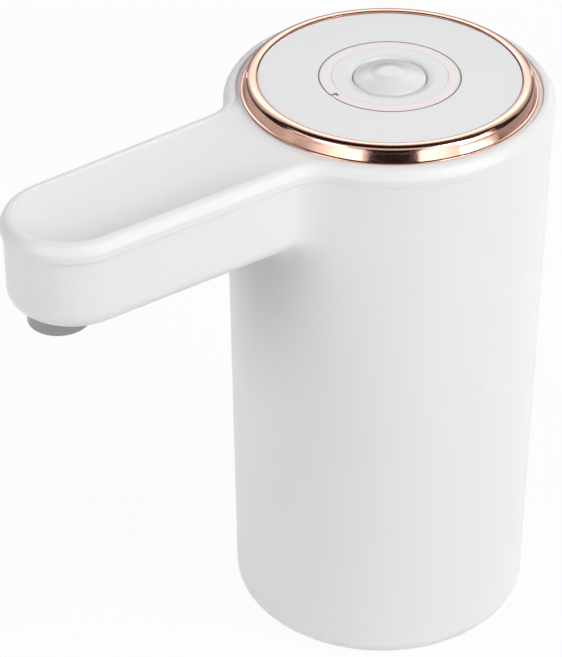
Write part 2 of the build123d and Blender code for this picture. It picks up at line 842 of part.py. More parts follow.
def base_cup():
    """The sleeve that slides over the bottle's neck, with the ceiling that carries the pump."""
    outer = neck_bore_radius + cup_wall
    grip_top = base_floor + neck_grip_length
    ceiling_radius = side_radius(cup_height) - wall - 2 * slip_fit
    cup = cyl(outer, base_floor, chassis_low) + cyl(ceiling_radius, cup_height, chassis_low)
    cup -= cyl(neck_bore_radius, base_floor - overrun, grip_top)
    cup -= cyl(neck_bore_radius + neck_relief, grip_top, cup_height)
    for place in chassis_screw_places():
        cup += cyl(pad_radius, cup_height - pad_height, cup_height + ceiling_thickness / 2, place)
    for place in chassis_screw_places():
        cup -= cyl(screw_radius + snug_fit, cup_height - pad_height / 2, chassis_low + overrun, place)
    cup -= cyl(collar_radius + collar_play, cup_height - overrun, chassis_low + overrun)
    return cup


def neck_gasket():
    outer = neck_bore_radius + neck_relief - slip_fit
    return tube(outer, outer - gasket_width, cup_height - gasket_thickness, cup_height)


# Chassis, with the cradle for the battery


def chassis():
    radius = side_radius(chassis_low) - wall - chassis_margin - hook_depth
    plate = cyl(radius, chassis_low, cover_low)
    inner = cell_radius + cell_play
    outer = inner + cradle_wall
    cradle = tube(outer, inner, cover_low, cover_low + cradle_height, cell_at)
    notch_reach = 2 * outer
    notch = sector(notch_reach, snug_fit, cover_low, cover_low + cradle_height + overrun, 90,
                   cradle_opening, cell_at)
    plate += cradle - notch
    plate -= cyl(collar_radius + collar_play, chassis_low - overrun, cover_low + overrun)
    for place in chassis_screw_places():
        plate -= cyl(screw_radius + screw_play, chassis_low - overrun, cover_low + overrun, place)
    for place in pump_screw_places():
        plate -= cyl(screw_radius + snug_fit, chassis_low + rest_gap, cover_low + overrun, place)
    return plate


def chassis_screws():
    length = chassis_thickness + ceiling_thickness + pad_height * chassis_screw_bite_share
    return [screw(place, cover_low, length) for place in chassis_screw_places()]


# Gear pump


def pump_screw_places():
    """Four ears round the pump, clear of its round ends."""
    reach = (pump_reach + screw_head_radius + slip_fit) / sqrt(2)
    places = []
    for side in (-1, 1):
        for end in (-1, 1):
            places.append((side * (gear_pitch_radius + reach), gear_y + end * reach))
    return places


def stadium(radius, low, high):
    """The round-ended form about both gears."""
    form = cyl(radius, low, high, drive_at) + cyl(radius, low, high, idler_at)
    return form + block(2 * gear_pitch_radius, 2 * radius, low, high, (0, gear_y))


def ear(place, low, high):
    """A screw ear: a round boss and a web back to the pump's middle line."""
    side = gear_pitch_radius if place[0] > 0 else -gear_pitch_radius
    dx, dy = place[0] - side, place[1] - gear_y
    angle = degrees(atan2(dy, dx))
    length = hypot(dx, dy)
    web_at = (side + dx / 2, gear_y + dy / 2)
    return cyl(pump_ear_radius, low, high, place) + block(length, 2 * pump_ear_radius, low, high, web_at,
                                                          angle)


def pump_plan(low, high):
    """The pump's outer form with its four ears and the outlet's arm."""
    form = stadium(pump_reach, low, high)
    for place in pump_screw_places():
        form += ear(place, low, high)
    return form


def outlet_run(radius, low, high):
    """A round-ended bar from the outlet chamber to the foot of the hose."""
    dx, dy = hose_x - outlet_at[0], hose_at[1] - outlet_at[1]
    middle = ((hose_x + outlet_at[0]) / 2, (hose_at[1] + outlet_at[1]) / 2)
    run = cyl(radius, low, high, outlet_at) + cyl(radius, low, high, hose_at)
    return run + block(hypot(dx, dy), 2 * radius, low, high, middle, degrees(atan2(dy, dx)))


def gear_pockets(low, high):
    """The two round pockets that the gears turn in, with the inlet and outlet chambers."""
    pockets = cyl(pocket_radius, low, high, drive_at) + cyl(pocket_radius, low, high, idler_at)
    for place in ((0, 0), outlet_at):
        pockets += cyl(chamber_radius, low, high, place)
    return pockets


def pump_housing():
    body = pump_plan(housing_low, housing_low + pump_ear_height)
    body += stadium(pump_reach, housing_low, housing_top)
    run_radius = chamber_radius + pump_wall / 2
    body += outlet_run(run_radius, housing_low, cavity_top)
    body -= gear_pockets(housing_low - overrun, cavity_top)
    channel_radius = inlet_bore_radius
    channel_low = housing_low + pump_wall
    body -= outlet_run(channel_radius, channel_low, cavity_top - pump_wall)
    body += hose_barb()
    seal_pocket = motor_boss_radius + snug_fit
    seal_seat = housing_top - motor_boss_height - seal_height - seal_play
    body -= cyl(seal_pocket, seal_seat, housing_top + overrun,
                drive_at)
    body -= cyl(shaft_radius + shaft_hole_play, cavity_top - overrun, housing_top, drive_at)
    body -= cyl(idler_pin_radius + snug_fit, cavity_top - overrun, cavity_top + pin_seat_depth, idler_at)
    for place in pump_screw_places():
        body -= cyl(screw_radius + screw_play, housing_low - overrun, housing_top, place)
    for place in motor_screw_places():
        body -= cyl(small_screw_radius + snug_fit, cavity_top - overrun, housing_top + overrun, place)
        body -= cyl(small_head_radius + snug_fit, cavity_top - overrun, cavity_top + small_head_height,
                    place)
    return body


def hose_barb():
    """The upright barb that the outlet hose is pushed onto."""
    low = cavity_top - pump_wall / 2
    top = cavity_top + barb_root_gap + barb_ridge_count * barb_ridge_height
    barb = barb_form(low, top)
    reach = top - low + 2 * pump_wall
    bore = Cylinder(barb_bore_radius, reach, align=(Align.CENTER, Align.CENTER, Align.MIN))
    return Pos(hose_x, hose_at[1], 0) * (barb - Pos(0, 0, low - pump_wall) * bore)


def barb_form(low, top):
    """A barb about the Z axis, with ridges that point down from its tip."""
    points = [(0, low), (barb_radius, low)]
    points.append((barb_radius, top - barb_ridge_count * barb_ridge_height))
    for index in range(barb_ridge_count):
        start = top - (barb_ridge_count - index) * barb_ridge_height
        points += [(barb_radius + barb_ridge, start), (barb_radius, start + barb_ridge_height)]
    points.append((0, top))
    return turned(points)


def pump_cover():
    """The plate under the gears, with the collar and the inlet spigot below it."""
    cover = pump_plan(cover_low, cover_top)
    cover += outlet_run(chamber_radius + pump_wall / 2, cover_low, cover_top)
    collar_low = cup_height + snug_fit
    cover += cyl(collar_radius, collar_low, cover_low)
    tip = collar_low - spigot_length
    spigot = cyl(spigot_radius, tip, collar_low)
    spigot = chamfer(spigot.edges().group_by(Axis.Z)[0], spigot_tip_chamfer)
    cover += spigot
    cover -= cyl(inlet_bore_radius, tip - overrun, cover_top + overrun)
    for place, radius in ((drive_at, shaft_radius), (idler_at, idler_pin_radius)):
        cover -= cyl(radius + snug_fit, cover_top - pin_seat_depth, cover_top + overrun, place)
    for place in pump_screw_places():
        cover -= cyl(screw_radius + screw_play, cover_low - overrun, cover_top + overrun, place)
    return cover


def pump_gasket():
    sheet = pump_plan(cover_top, housing_low)
    sheet += outlet_run(chamber_radius + pump_wall / 2, cover_top, housing_low)
    sheet -= gear_pockets(cover_top - overrun, housing_low + overrun)
    for place in pump_screw_places():
        sheet -= cyl(screw_radius + screw_play, cover_top - overrun, housing_low + overrun, place)
    return sheet


def pump_screws():
    bite = chassis_thickness * pump_screw_bite_share
    length = pump_ear_height + pump_gasket_thickness + cover_thickness + bite
    return [screw(place, housing_low + pump_ear_height, length) for place in pump_screw_places()]


def involute_flank(side, steps=4):
    """Points of one tooth flank from the base circle to the tip, about the +X direction."""
    base = gear_pitch_radius * cos(radians(gear_pressure_angle))
    pitch_roll = tan(radians(gear_pressure_angle)) - radians(gear_pressure_angle)
    thickness = pi * gear_module / 2 - gear_backlash / 2
    half = thickness / 2 / gear_pitch_radius + pitch_roll
    points = []
    for step in range(steps + 1):
        radius = base + (gear_tip_radius - base) * step / steps
        pressure = acos(base / radius)
        angle = side * (half - (tan(pressure) - pressure))
        points.append((radius * cos(angle), radius * sin(angle)))
    return points


def gear_outline(phase):
    """A spur gear's outline: roots, straight flank feet, involute flanks and tips."""
    root = gear_pitch_radius - gear_root_share * gear_module
    low = involute_flank(-1)
    high = involute_flank(1)
    foot_angle = atan2(high[0][1], high[0][0])
    pitch = 2 * pi / gear_teeth
    edges = []
    for tooth in range(gear_teeth):
        turn = phase + tooth * pitch

        def placed(point):
            x, y = point
            return (x * cos(turn) - y * sin(turn), x * sin(turn) + y * cos(turn))

        def on_root(angle):
            return placed((root * cos(angle), root * sin(angle)))

        edges.append(Line(on_root(-foot_angle), placed(low[0])))
        edges.append(Spline(*[placed(point) for point in low]))
        edges.append(ThreePointArc(placed(low[-1]), placed((gear_tip_radius, 0)), placed(high[-1])))
        edges.append(Spline(*[placed(point) for point in reversed(high)]))
        edges.append(Line(placed(high[0]), on_root(foot_angle)))
        edges.append(ThreePointArc(on_root(foot_angle), on_root(pitch / 2), on_root(pitch - foot_angle)))
    return make_face(Wire(edges))


def gear(at, phase, bore_radius):
    low = housing_low + gear_side_play
    blank = Pos(at[0], at[1], low) * extrude(gear_outline(phase), amount=gear_width)
    return blank - cyl(bore_radius, low - overrun, low + gear_width + overrun, at)


def drive_gear():
    """A tooth of the drive gear points at the idler."""
    return gear(drive_at, 0, shaft_radius + snug_fit / 2)


def idler_gear():
    """A gap of the idler faces the drive gear."""
    return gear(idler_at, pi + pi / gear_teeth, idler_pin_radius + running_fit)


def idler_pin():
    high = cavity_top + pin_seat_depth - snug_fit
    return cyl(idler_pin_radius, cover_top - pin_seat_depth, high, idler_at)


def shaft_seal():
    low = housing_top - motor_boss_height - seal_height
    high = low + seal_height - seal_play
    return tube(motor_boss_radius, shaft_radius + running_fit, low, high, drive_at)


def inlet_seal():
    """The ring round the spigot's collar, seated in the chassis."""
    return tube(collar_radius + collar_play - snug_fit, collar_radius + snug_fit, chassis_low,
                chassis_low + seal_height)


# Motor


def motor_screw_places():
    x, y = drive_at
    return [(x, y + motor_screw_circle), (x, y - motor_screw_circle)]


def motor_screws():
    length = pump_roof - small_head_height + motor_front_thickness
    low = cavity_top + small_head_height
    return [screw(place, low, length, False, small_screw_radius, small_head_radius,
                  small_head_height - snug_fit) for place in motor_screw_places()]


def motor_can():
    can = cyl(motor_radius, housing_top, motor_top, drive_at)
    front = housing_top + motor_front_thickness
    can -= cyl(motor_radius - motor_shell, front, motor_top + overrun, drive_at)
    can += cyl(motor_boss_radius, housing_top - motor_boss_height, housing_top + motor_front_thickness,
               drive_at)
    hole = shaft_radius + bushing_wall
    can -= cyl(hole, housing_top - motor_boss_height - overrun, front + overrun,
               drive_at)
    for place in motor_screw_places():
        can -= cyl(small_screw_radius + snug_fit, housing_top - overrun,
                   housing_top + motor_front_thickness + overrun, place)
    return can


def bushing(low):
    return tube(shaft_radius + bushing_wall - snug_fit / 2, shaft_radius + running_fit, low,
                low + bushing_length, drive_at)


def front_bushing():
    return bushing(housing_top - motor_boss_height)


def end_cap_low():
    return motor_top


def rear_bushing():
    return bushing(end_cap_low() + end_cap_boss_height)


def motor_end_cap():
    """The moulded cap that closes the can, with a boss for the rear bushing and brush slots."""
    low = end_cap_low()
    cap = cyl(motor_radius, low, low + end_cap_thickness, drive_at)
    half = end_cap_thickness / 2
    cap += cyl(motor_radius - motor_shell - slip_fit, low - half, low + half,
               drive_at)
    boss_top = low + end_cap_thickness + end_cap_boss_height
    cap += cyl(motor_boss_radius + motor_shell, low, boss_top, drive_at)
    seat_top = low + end_cap_boss_height + bushing_length
    cap -= cyl(shaft_radius + bushing_wall, low - end_cap_thickness, seat_top,
               drive_at)
    for x, y in terminal_places():
        cap -= block(terminal_width + 2 * snug_fit, terminal_thickness + 2 * snug_fit,
                     low - end_cap_thickness, low + end_cap_thickness + overrun, (x, y))
    return cap


def terminal_places():
    x, y = drive_at
    return [(x, y + terminal_place), (x, y - terminal_place)]


def motor_terminals():
    low = end_cap_low() - end_cap_thickness / 2
    high = end_cap_low() + end_cap_thickness + terminal_height
    return [block(terminal_width, terminal_thickness, low, high, place) for place in terminal_places()]


def armature_low():
    return housing_top + motor_front_thickness + (magnet_length - armature_length) / 2 + winding_overhang


def field_magnets():
    outer = motor_radius - motor_shell - snug_fit
    low = armature_low() - (magnet_length - armature_length) / 2
    inner = outer - magnet_thickness
    return [sector(outer, inner, low, low + magnet_length, angle, magnet_sweep, drive_at)
            for angle in (0, 180)]


def drive_shaft():
    low = cover_top - pin_seat_depth + snug_fit
    high = end_cap_low() + end_cap_boss_height + bushing_length - snug_fit
    return cyl(shaft_radius, low, high, drive_at)


def pole_angles():
    return [angle for x, y, angle in ring_of_places(armature_radius, armature_poles, 90)]


def armature_core():
    low = armature_low()
    high = low + armature_length
    core = cyl(armature_hub_radius, low, high, drive_at)
    for angle in pole_angles():
        reach = armature_radius - armature_shoe_thickness / 2
        x = drive_at[0] + reach / 2 * cos(radians(angle))
        y = drive_at[1] + reach / 2 * sin(radians(angle))
        core += block(reach, armature_arm_width, low, high, (x, y), angle)
        core += sector(armature_radius, armature_radius - armature_shoe_thickness, low, high, angle,
                       armature_shoe_sweep, drive_at)
    return core - cyl(shaft_radius + snug_fit / 2, low - overrun, high + overrun, drive_at)


def armature_windings():
    """One coil round each arm of the core, between the hub and the shoe."""
    low = armature_low()
    high = low + armature_length
    start = armature_hub_radius + slip_fit
    half_width = armature_arm_width / 2 + snug_fit + winding_thickness
    stop = sqrt((armature_radius - armature_shoe_thickness - slip_fit)**2 - half_width**2)
    coils = []
    for angle in pole_angles():
        x = drive_at[0] + (start + stop) / 2 * cos(radians(angle))
        y = drive_at[1] + (start + stop) / 2 * sin(radians(angle))
        width = armature_arm_width + 2 * snug_fit
        outer = block(stop - start, 2 * half_width, low - winding_overhang,
                      high + winding_overhang, (x, y), angle)
        inner = block(stop - start + overrun, width, low - snug_fit, high + snug_fit, (x, y), angle)
        coils.append(outer - inner)
    return coils


def commutator_low():
    return armature_low() + armature_length + winding_overhang + slip_fit


def commutator():
    low = commutator_low()
    return tube(commutator_radius, shaft_radius + snug_fit / 2, low, low + commutator_length, drive_at)


def motor_brushes():
    middle = commutator_low() + commutator_length / 2
    low = middle - brush_height / 2
    blocks = []
    for side in (-1, 1):
        x = drive_at[0] + side * (commutator_radius + rest_gap + brush_length / 2)
        blocks.append(block(brush_length, brush_width, low, low + brush_height, (x, drive_at[1])))
    return blocks


# Battery and leads


def battery_cell():
    top = cell_low + cell_length
    cell = cyl(cell_radius, cell_low, top, cell_at)
    cell = fillet(cell.edges().group_by(Axis.Z)[-1], cell_nub_height)
    return cell + cyl(cell_nub_radius, top - cell_nub_height, top + cell_nub_height, cell_at)


def lead(points, bends):
    """A round wire along straight runs joined by arcs."""
    path = FilletPolyline(*points, radius=bends)
    start = Vector(*points[0])
    along = Vector(*points[1]) - start
    return sweep(Plane(origin=start, z_dir=along) * Circle(lead_radius), path=path)


def board_underside():
    return board_height - snug_fit


def motor_leads():
    wires = []
    low = end_cap_low() + end_cap_thickness + terminal_height + snug_fit
    for (x, y), side in zip(terminal_places(), (1, -1)):
        end = (x + 2 * lead_spread, y + side * lead_spread)
        middle = (low + board_underside()) / 2
        points = [(x, y, low), (x, y, middle - lead_bend), (end[0], end[1], middle + lead_bend),
                  (end[0], end[1], board_underside())]
        wires.append(lead(points, lead_bend))
    return wires


def battery_leads():
    """One wire from each end of the cell up to the board."""
    top = cell_low + cell_length + 2 * cell_nub_height
    high = board_underside()
    middle = (top + high) / 2
    front = cell_at[1] - lead_spread
    back = cell_at[1] + lead_spread
    upper = [(0, cell_at[1], top), (0, cell_at[1], middle - lead_bend),
             (-lead_spread, front, middle + lead_bend), (-lead_spread, front, high)]
    outside = cell_at[1] + cell_radius + cell_play + lead_radius
    lower = [(0, outside, cell_low + lead_bend), (0, outside, middle - lead_bend),
             (lead_spread, back, middle + 2 * lead_spread), (lead_spread, back, high)]
    return [lead(upper, lead_bend), lead(lower, lead_bend)]


# Outlet hose and nozzle


def hose_path():
    """Up from the pump, over into the arm and along it to the nozzle's barb."""
    start = cavity_top + barb_root_gap
    wall_y = -(side_radius(arm_bottom) - wall)
    turn_y = wall_y - hose_elbow
    end_y = nozzle_at[1] + nozzle_reach + hose_end_gap
    points = [(hose_x, hose_at[1], start), (hose_x, hose_at[1], hose_height), (0, turn_y, hose_height),
              (0, end_y, hose_height)]
    return points, FilletPolyline(*points, radius=[hose_bend, hose_turn])


def outlet_hose():
    points, path = hose_path()
    foot = Plane(origin=points[0], z_dir=(0, 0, 1))
    outer = sweep(foot * Circle(hose_radius), path=path)
    inner = sweep(foot * Circle(hose_bore_radius), path=path)
    return outer - inner


def nozzle_seat():
    return arm_floor + nozzle_seat_rise


def nozzle_flange_low():
    return nozzle_seat() + nozzle_seal_thickness


def nozzle_ear_places():
    return [(side * nozzle_ear_x, nozzle_at[1] + nozzle_ear_back) for side in (-1, 1)]


def nozzle_flange(low, high):
    radius = nozzle_reach
    flange = cyl(radius, low, high, nozzle_at)
    for x, y in nozzle_ear_places():
        angle = degrees(atan2(nozzle_ear_back, x))
        length = hypot(x, nozzle_ear_back)
        middle = (x / 2, nozzle_at[1] + nozzle_ear_back / 2)
        flange += cyl(nozzle_ear_radius, low, high, (x, y))
        flange += block(length, 2 * nozzle_ear_radius, low, high, middle, angle)
    return flange


def outlet_nozzle():
    """A grey spout end: a barrel through the arm's floor, a flange, a column and a side barb."""
    low = arm_bottom - nozzle_drop
    flange_low = nozzle_flange_low()
    flange_high = flange_low + nozzle_flange_thickness
    barrel = cyl(nozzle_radius, low, flange_high, nozzle_at)
    barrel = fillet(barrel.edges().group_by(Axis.Z)[0], nozzle_edge_round)
    nozzle = barrel + nozzle_flange(flange_low, flange_high)
    top = hose_height + nozzle_arm_radius
    nozzle += cyl(nozzle_column_radius, flange_low, top, nozzle_at)
    barb_start = nozzle_reach + hose_end_gap
    side_arm = Cylinder(nozzle_arm_radius, barb_start - barb_root_gap,
                        align=(Align.CENTER, Align.CENTER, Align.MIN))
    barb_end = barb_start + barb_ridge_count * barb_ridge_height
    side_barb = barb_form(barb_start - barb_root_gap - overrun, barb_end)
    bore = Cylinder(barb_bore_radius, barb_end + overrun, align=(Align.CENTER, Align.CENTER, Align.MIN))
    sideways = Pos(0, nozzle_at[1], hose_height) * Rot(-90, 0, 0)
    nozzle += sideways * (side_arm + side_barb)
    nozzle -= cyl(nozzle_bore_radius, low - overrun, flange_low, nozzle_at)
    nozzle -= cyl(nozzle_throat_radius, low, hose_height, nozzle_at)
    nozzle -= sideways * bore
    for place in nozzle_ear_places():
        nozzle -= cyl(small_screw_radius + screw_play, low, top, place)
    return nozzle


def nozzle_seal():
    outer = nozzle_reach - snug_fit
    return tube(outer, nozzle_radius + snug_fit, nozzle_seat(), nozzle_flange_low(), nozzle_at)


def nozzle_screws():
    length = nozzle_flange_thickness + nozzle_seat_rise + nozzle_seal_thickness
    head_low = nozzle_flange_low() + nozzle_flange_thickness
    return [screw(place, head_low, length, True, small_screw_radius, small_head_radius,
                  small_head_height)
            for place in nozzle_ear_places()]


def build():
    write("body_shell", body_shell())
    write("top_cover", top_cover())
    write("accent_ring", accent_ring())
    write("top_panel", top_panel())
    write("light_ring", light_ring())
    write("light_ring_trim", light_ring_trim())
    write("button_cap", button_cap())
    write("switch_plunger", switch_plunger())
    write("tact_switch", tact_switch())
    write("control_board", control_board())
    write("status_leds", *status_leds())
    write("charge_socket", charge_socket())
    write("board_screws", *board_screws())
    write("base_cup", base_cup())
    write("neck_gasket", neck_gasket())
    write("chassis", chassis())
    write("chassis_screws", *chassis_screws())
    write("pump_cover", pump_cover())
    write("pump_gasket", pump_gasket())
    write("pump_housing", pump_housing())
    write("pump_screws", *pump_screws())
    write("drive_gear", drive_gear())
    write("idler_gear", idler_gear())
    write("idler_pin", idler_pin())
    write("shaft_seal", shaft_seal())
    write("inlet_seal", inlet_seal())
    write("motor_can", motor_can())
    write("motor_end_cap", motor_end_cap())
    write("motor_terminals", *motor_terminals())
    write("motor_screws", *motor_screws())
    write("front_bushing", front_bushing())
    write("rear_bushing", rear_bushing())
    write("field_magnets", *field_magnets())
    write("drive_shaft", drive_shaft())
    write("armature_core", armature_core())
    write("armature_windings", *armature_windings())
    write("commutator", commutator())
    write("motor_brushes", *motor_brushes())
    write("battery_cell", battery_cell())
    write("motor_leads", *motor_leads())
    write("battery_leads", *battery_leads())
    write("outlet_hose", outlet_hose())
    write("outlet_nozzle", outlet_nozzle())
    write("nozzle_seal", nozzle_seal())
    write("nozzle_screws", *nozzle_screws())


build()
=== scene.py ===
"""Bottled water pump: looks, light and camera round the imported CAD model.

Metres, +Z up, and the arm runs along -Y.
"""
import json
import math

import bmesh
import bpy
from mathutils import Matrix, Vector


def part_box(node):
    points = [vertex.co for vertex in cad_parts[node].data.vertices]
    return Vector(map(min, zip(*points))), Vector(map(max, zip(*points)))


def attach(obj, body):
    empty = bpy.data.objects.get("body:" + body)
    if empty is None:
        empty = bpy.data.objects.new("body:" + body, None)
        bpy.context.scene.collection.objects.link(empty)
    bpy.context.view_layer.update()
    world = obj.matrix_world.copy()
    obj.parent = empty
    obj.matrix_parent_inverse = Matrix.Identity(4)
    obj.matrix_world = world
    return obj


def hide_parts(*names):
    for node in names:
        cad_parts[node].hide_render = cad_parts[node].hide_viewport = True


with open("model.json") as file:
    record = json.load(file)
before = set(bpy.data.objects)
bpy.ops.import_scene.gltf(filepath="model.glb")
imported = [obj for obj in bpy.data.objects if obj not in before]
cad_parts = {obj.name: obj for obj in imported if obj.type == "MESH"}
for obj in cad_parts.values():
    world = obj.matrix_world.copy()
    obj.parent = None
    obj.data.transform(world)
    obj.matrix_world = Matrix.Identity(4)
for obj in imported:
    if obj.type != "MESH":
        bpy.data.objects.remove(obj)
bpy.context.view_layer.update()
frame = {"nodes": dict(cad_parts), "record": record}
NODES = frame["nodes"]

# Camera
CAMERA_AT = (0.43896, -0.36660, 0.45691)
CAMERA_RIGHT = (0.60875, 0.79337, -0.000178)
CAMERA_UP = (-0.44497, 0.34161, 0.82784)
CAMERA_FORWARD = (-0.65684, 0.50386, -0.56097)
SENSOR = 36.0
LENS = 164.38
CLIP = (0.01, 50.0)

# Lamps: place as steps from AIM to the camera's right, towards the camera and up, size across and
# down, power in watts
AIM = (0.0, -0.02, 0.08)
SOFTBOXES = {
    "key": ((0.75, 0.55, 0.8), (0.4, 0.4), 5.4),
    "left_tall": ((-0.95, 0.85, 0.55), (0.5, 0.8), 7.9),
    "right_mid": ((1.1, 0.5, 0.3), (0.6, 0.6), 3.4),
    "top_left": ((-0.8, 0.1, 0.95), (0.6, 0.8), 2.0),
    "top_right": ((0.8, 0.1, 0.95), (0.6, 0.8), 4.9),
    "top_back": ((0.0, -0.9, 0.85), (1.2, 0.4), 1.3),
    "back_left": ((-0.9, -1.3, 0.22), (0.7, 0.5), 4.0),
    "back_right": ((0.9, -1.3, 0.22), (0.7, 0.5), 4.0),
}
WORLD_LEVEL = 0.03
# A lamp or card straight above AIM, to within this sine, takes its level direction from the camera
OVERHEAD = 0.05

# Cards that only reflections see: place and size as above, level at the lower and upper edge, and
# the share of it that is left at each side edge
CARDS = {
    "camera_card": ((0.04, 1.0, 0.38), (0.73, 0.9), (0.01, 0.01), (1, 1)),
    "ceiling_card": ((0.0, 0.0, 0.7), (1.8, 0.62), (0.01, 0.01), (1, 1)),
    "left_card": ((-1.15, -0.15, 0.42), (0.6, 1.0), (0.02, 0.01), (1, 1)),
    "right_card": ((1.15, -0.15, 0.42), (0.6, 1.0), (0.02, 0.01), (1, 1)),
    "back_card": ((0.0, -1.3, 0.46), (1.7, 1.1), (0.01, 2.1), (1, 1)),
    "top_back_card": ((0.0, -0.86, 0.9), (1.3, 0.4), (1.9, 1.2), (1, 1)),
    "left_back_card": ((-1.05, -0.85, 0.46), (1.1, 1.1), (0.01, 1.5), (1, 0.3)),
    "right_back_card": ((1.05, -0.85, 0.46), (1.1, 1.1), (0.01, 1.5), (0.3, 1)),
    "left_front_card": ((-1.0, 0.9, 0.2), (1.4, 0.6), (3.0, 3.0), (0.15, 1)),
    "right_front_card": ((1.0, 0.9, 0.2), (1.4, 0.6), (3.0, 3.0), (1, 0.15)),
    "right_tall_card": ((0.95, 0.85, 0.75), (0.9, 0.6), (2.4, 2.4), (1, 0.15)),
}
# Grey cards on the floor, also for reflections: steps to the right and towards the camera, size
FLOOR_CARDS = {
    "left_floor_card": ((-0.9, -0.7), (1.4, 1.9)),
    "right_floor_card": ((0.9, -0.7), (1.4, 1.9)),
    "back_floor_card": ((0.0, -0.95), (0.4, 1.4)),
}
FLOOR_CARD_LEVEL = 0.5
FLOOR_CARD_HEIGHT = 0.001

# Floor
FLOOR_SIZE = 12.0
FLOOR_HEIGHT = -0.0002
FLOOR_ALBEDO = 0.85
# Its glow grows from this share to 1 between the two distances from the object
FLOOR_GLOW_SHARE = 0.93
FLOOR_FADE = (0.15, 0.9)

# Trim line: gap in degrees round the light ring, hook in degrees and metres from the ring's axis
TRIM_WIDTH = 0.00024
TRIM_BEVEL = TRIM_WIDTH / 7
TRIM_STEPS = 236
TRIM_GAP = (264.4, 270.9)
TRIM_HOOK = ((264.4, 0.01551), (266.0, 0.01505), (265.7, 0.01442), (266.9, 0.01416),
             (269.4, 0.01436))
HOOK_STEPS = 6
# The hook's underside is so far below the line's top. It swells by this share of the line's width
# towards its end, and has its full rise above the line once a third of it is past
HOOK_DEPTH = 0.00008
HOOK_SWELL = 0.8
HOOK_RISE = 0.00012
HOOK_RAMP = 3

# Accent ring, in millimetres: the bead from its inner edge over the crest to its foot, then the
# band and the rounded lip, each as two Bezier runs of radius and height
RING_FOOT = 133.0
RING_BEAD = (((29.0, 136.35), (29.12, 136.52), (29.4, 136.6), (29.78, 136.6)),
             ((29.78, 136.6), (30.75, 136.6), (31.5, 136.05), (31.62, 135.1)))
RING_LIP = (((31.62, 135.1), (31.8, 134.54), (31.98, 133.98), (32.18, 133.42)),
            ((32.18, 133.42), (32.42, 133.42), (32.65, 133.33), (32.65, 133.15)))
RING_RUN_STEPS = 10
RING_STEPS = 240
RING_SHARP_ANGLE = 32
# Its pegs: radius, distance from the axis, foot and head in millimetres, and angles round the ring
RING_PEG = (1.0, 30.825, 129.8, 133.2)
PEG_CHAMFER = 0.25
PEG_STEPS = 24
PEG_ANGLES = (45, 135, 225, 315)
WELD_DISTANCE = 1e-7


# Materials

# Most noise values lie between these
NOISE_SPAN = (0.3, 0.7)


class Shader:
    """A small builder round one node tree with a Principled shader."""

    def __init__(self, name):
        self.material = bpy.data.materials.new(name)
        self.material.use_nodes = True
        self.tree = self.material.node_tree
        self.principled = self.tree.nodes["Principled BSDF"]
        self.coordinates = self.add("ShaderNodeTexCoord").outputs["Object"]
        self.normal = None

    def add(self, kind, **settings):
        """A new node. A name with a capital is an input socket, any other a setting of the node."""
        node = self.tree.nodes.new(kind)
        for key, value in settings.items():
            if key[0].isupper():
                node.inputs[key.replace("_", " ")].default_value = value
            else:
                setattr(node, key, value)
        return node

    def link(self, output, target):
        self.tree.links.new(output, target)

    def noise(self, scale, detail=3.0, roughness=0.55, stretch=None):
        node = self.add("ShaderNodeTexNoise", Scale=scale, Detail=detail, Roughness=roughness)
        self.link(self.stretched(stretch), node.inputs["Vector"])
        return node.outputs["Fac"]

    def stretched(self, stretch):
        if stretch is None:
            return self.coordinates
        mapping = self.add("ShaderNodeMapping", Scale=stretch)
        self.link(self.coordinates, mapping.inputs["Vector"])
        return mapping.outputs["Vector"]

    def remap(self, value, low, high, start=0.0, end=1.0):
        """Low where the value is at its start, high where it is at its end."""
        node = self.add("ShaderNodeMapRange", From_Min=start, From_Max=end, To_Min=low, To_Max=high)
        self.link(value, node.inputs["Value"])
        return node.outputs["Result"]

    def step(self, value, start, end):
        """A soft step from 0 to 1."""
        output = self.remap(value, 0.0, 1.0, start, end)
        output.node.interpolation_type = "SMOOTHSTEP"
        return output

    def radius(self):
        """Distance from the upright axis of the pump."""
        flat = self.add("ShaderNodeVectorMath", operation="MULTIPLY")
        flat.inputs[1].default_value = (1, 1, 0)
        self.link(self.coordinates, flat.inputs[0])
        length = self.add("ShaderNodeVectorMath", operation="LENGTH")
        self.link(flat.outputs[0], length.inputs[0])
        return length.outputs["Value"]

    def blend(self, share, first, second):
        """The first colour where the share is 0, the second where it is 1."""
        node = self.add("ShaderNodeMix", data_type="RGBA")
        self.link(share, node.inputs["Factor"])
        colours = [socket for socket in node.inputs if socket.type == "RGBA"]
        colours[0].default_value = (*first, 1)
        colours[1].default_value = (*second, 1)
        return [socket for socket in node.outputs if socket.type == "RGBA"][0]

    def colour(self, output):
        self.link(output, self.principled.inputs["Base Color"])

    def rough(self, output):
        self.link(output, self.principled.inputs["Roughness"])

    def bump(self, height, distance):
        """Adds one layer of relief to those before it."""
        node = self.add("ShaderNodeBump", Strength=1.0, Distance=distance)
        self.link(height, node.inputs["Height"])
        if self.normal:
            self.link(self.normal, node.inputs["Normal"])
        self.normal = node.outputs["Normal"]
        self.link(self.normal, self.principled.inputs["Normal"])

    def set(self, **values):
        for key, value in values.items():
            self.principled.inputs[key.replace("_", " ")].default_value = value


def shade(colour, factor):
    return tuple(min(1.0, channel * factor) for channel in colour)


